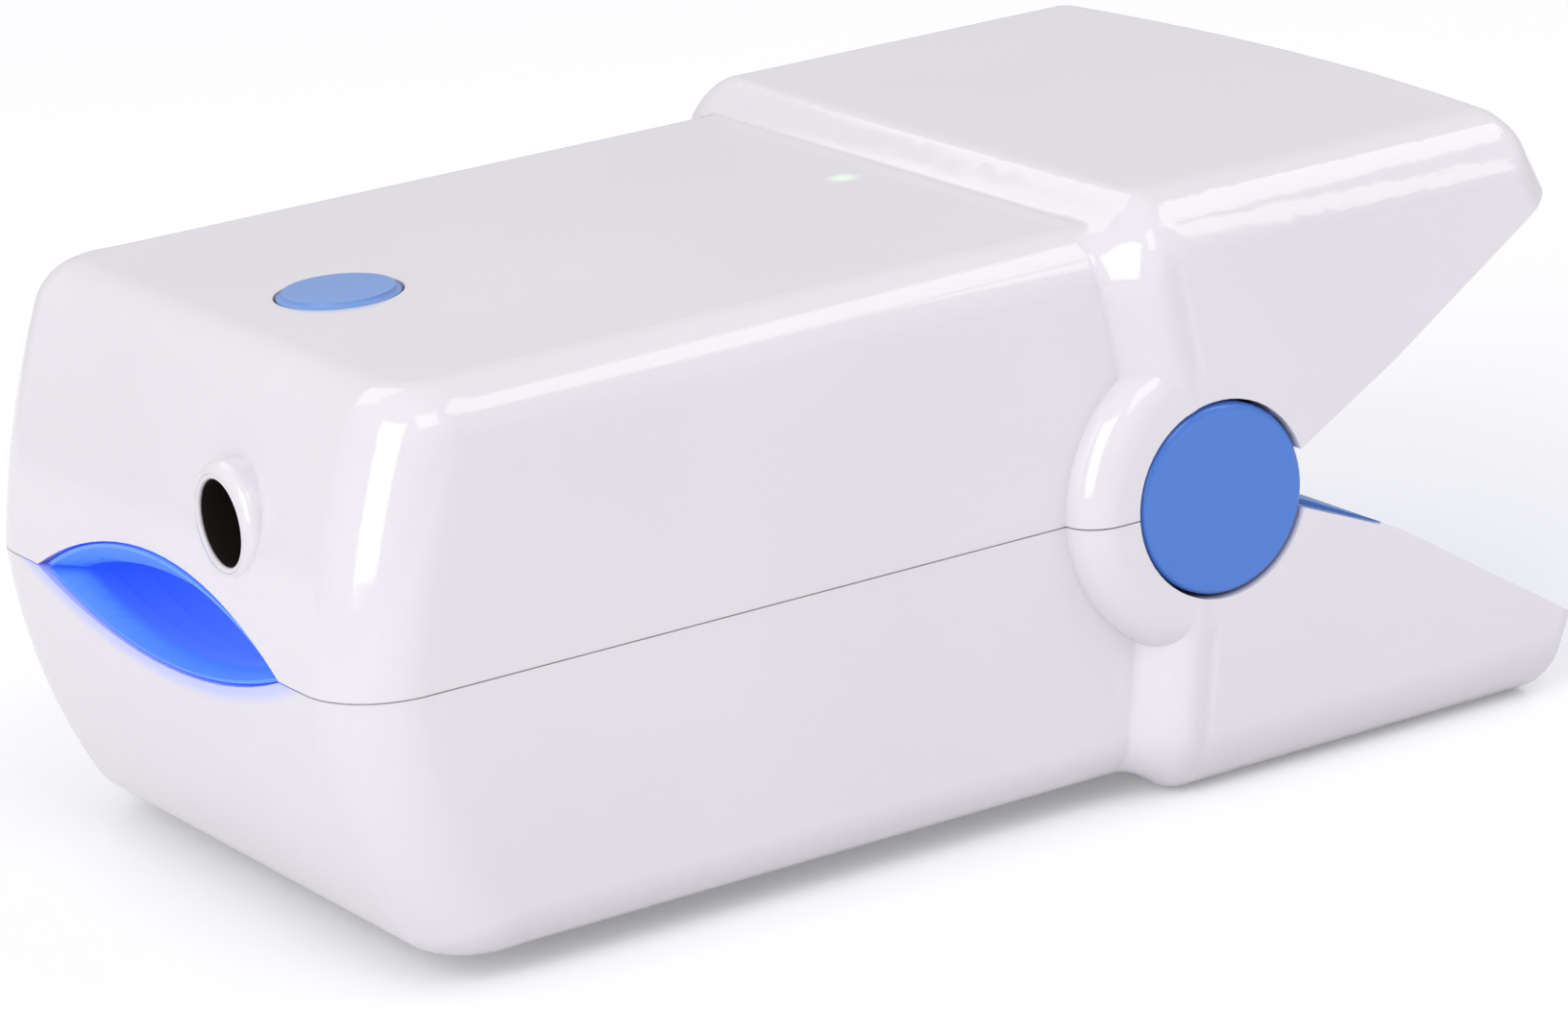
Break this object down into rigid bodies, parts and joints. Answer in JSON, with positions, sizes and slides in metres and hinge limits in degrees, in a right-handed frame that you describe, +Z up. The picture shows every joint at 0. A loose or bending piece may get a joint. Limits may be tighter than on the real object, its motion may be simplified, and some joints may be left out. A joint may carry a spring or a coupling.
{
  "type": "clip-on nail light therapy device",
  "caption": "Spring clip with two glossy jaws on a hinge that holds a finger or toe in a lit, lined channel, with a push button, a status light and a power inlet in the nose.",
  "frame": {"origin": "centre of the object's box in plan, at the level of the lower handle's flat underside", "axes": "+X from the mouth to the handles, along the longest extent, +Y to the left seen from the mouth's end looking to the handles, +Z up"},
  "size_m": [0.0933, 0.0572, 0.0407],
  "materials": {
    "shell_white": "gloss",
    "frame_blue": "satin",
    "liner_blue": "soft satin",
    "cap_blue": "gloss",
    "button_blue": "satin",
    "steel": "drawn wire and turned bar",
    "board_green": "solder mask",
    "window_clear": "polished",
    "jack_black": "moulded",
    "contact_metal": "plated",
    "led_clear": "clear resin",
    "led_blue": "clear resin",
    "laser_gold": "plated can",
    "cell_sleeve": "shrink sleeve",
    "chip_black": "moulded epoxy"
  },
  "bodies": {
    "lower_jaw": {"lower_shell": "shell_white", "lower_frame": "frame_blue", "lower_pad": "liner_blue", "lower_frame_screws": "steel", "hinge_pin": "steel", "hinge_cap_left": "cap_blue", "hinge_cap_right": "cap_blue", "spring_left": "steel", "spring_right": "steel"},
    "upper_jaw": {"upper_shell": "shell_white", "upper_frame": "frame_blue", "upper_pad": "liner_blue", "upper_frame_screws": "steel", "board_screws": "steel", "emitter_window": "window_clear", "emitter_board": "board_green", "blue_leds": "led_blue", "laser_diodes": "laser_gold", "main_board": "board_green", "battery_cell": "cell_sleeve", "battery_tabs": "contact_metal", "dc_jack": "jack_black", "jack_contact": "contact_metal", "jack_leaf": "contact_metal", "switch_body": "chip_black", "status_led": "led_clear", "light_guide": "led_clear", "buzzer": "chip_black", "controller_chip": "chip_black"},
    "button": {"power_button": "button_blue", "switch_plunger": "chip_black"}
  },
  "joints": [
    {"name": "jaw_hinge", "type": "hinge", "parent": "lower_jaw", "child": "upper_jaw", "pos_m": [0.0167, 0, 0.0202], "axis": [0, 1, 0], "range_deg": [0, 28], "stiffness_Nm_per_rad": 0.12, "springref_deg": -45.84, "deforming": ["spring_left", "spring_right"]},
    {"name": "button_press", "type": "slide", "parent": "upper_jaw", "child": "button", "axis": [0, 0, -1], "range_m": [0, 0.0004], "stiffness_N_per_m": 3000}
  ]
}
